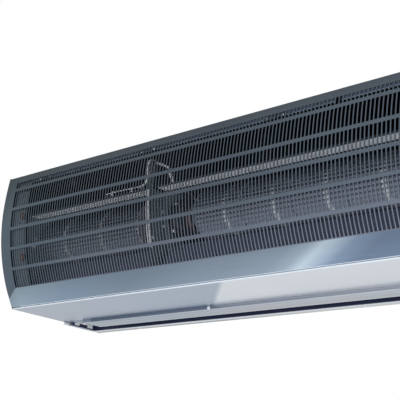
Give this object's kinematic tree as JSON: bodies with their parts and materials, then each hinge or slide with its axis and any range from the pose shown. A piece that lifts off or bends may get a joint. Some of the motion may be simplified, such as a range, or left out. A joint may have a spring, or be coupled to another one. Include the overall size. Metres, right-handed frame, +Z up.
{
  "type": "air curtain",
  "caption": "Wall-hung air curtain with a bulged, slotted steel front that hinges up, cross-flow fan wheels on one motor and a tilting vane in the outlet slot underneath.",
  "frame": {"origin": "centre of the wall rail's back face, on the wall, halfway along the unit", "axes": "+X along the unit to the right seen from the room, +Y into the wall, +Z up; metres"},
  "size_m": [1.5, 0.363, 0.356],
  "materials": {
    "front_steel": "satin stainless sheet, brushed along its length",
    "casing_steel": "satin stainless sheet",
    "pan_steel": "bright satin stainless sheet",
    "galvanised": "dull zinc-coated sheet",
    "bright_sheet": "bright sheet",
    "wheel_aluminium": "bare pressed aluminium",
    "shaft_steel": "ground steel",
    "screw_zinc": "bright zinc plating",
    "motor_paint": "dark grey cast housing",
    "brown_rubber": "red-brown rubber",
    "copper_wire": "lacquered copper wire",
    "bronze": "sintered bronze",
    "white_metal": "white coated sheet",
    "box_paint": "light grey coated sheet",
    "white_plastic": "off-white plastic",
    "cable_white": "white cable sheath",
    "black_plastic": "black polyamide"
  },
  "bodies": {
    "casing": {"end_cap_left": "casing_steel", "end_cap_right": "casing_steel", "top_plate": "casing_steel", "back_plate": "galvanised", "bottom_pan": "pan_steel", "door_hinges": "galvanised", "door_buffers": "brown_rubber", "door_catches": "white_plastic", "cheek_plates": "galvanised", "bearing_plates": "galvanised", "fan_deck_left": "galvanised", "fan_deck_right": "galvanised", "tongue_left": "galvanised", "tongue_right": "galvanised", "motor": "motor_paint", "motor_winding": "copper_wire", "inlet_rails": "bright_sheet", "edge_trim": "white_plastic", "plate_screws": "screw_zinc", "motor_grommets": "brown_rubber", "motor_screws": "screw_zinc", "bearing_housings": "galvanised", "bearing_rubbers": "brown_rubber", "bearing_bushes": "bronze", "bearing_screws": "screw_zinc", "capacitor": "white_plastic", "capacitor_clip": "galvanised", "nozzle_frame": "casing_steel", "vane_brackets": "white_metal", "bracket_screws": "screw_zinc", "terminal_box": "box_paint", "terminal_lid": "box_paint", "terminal_block": "white_plastic", "inner_cable": "cable_white", "cable_clip": "white_plastic", "cable_gland": "black_plastic", "wall_rail": "galvanised", "hanging_strip": "galvanised", "suspension_bushes": "screw_zinc", "end_screws": "screw_zinc"},
    "door": {"front_panel": "front_steel", "hinge_pins": "screw_zinc"},
    "rotor": {"wheel_left": "wheel_aluminium", "wheel_right": "wheel_aluminium", "rotor_shaft": "shaft_steel", "hub_screws": "shaft_steel"},
    "vane": {"deflector_vane": "bright_sheet", "vane_pins": "shaft_steel"}
  },
  "joints": [
    {"name": "door_hinge", "type": "hinge", "parent": "casing", "child": "door", "pos_m": [0, -0.35221, 0.06], "axis": [-1, 0, 0], "range_deg": [0, 75]},
    {"name": "rotor_spin", "type": "hinge", "parent": "casing", "child": "rotor", "pos_m": [0, -0.252, -0.1], "axis": [1, 0, 0], "continuous": true},
    {"name": "vane_tilt", "type": "hinge", "parent": "casing", "child": "vane", "pos_m": [0, -0.0825, -0.2635], "axis": [1, 0, 0], "range_deg": [-12, 12]}
  ]
}
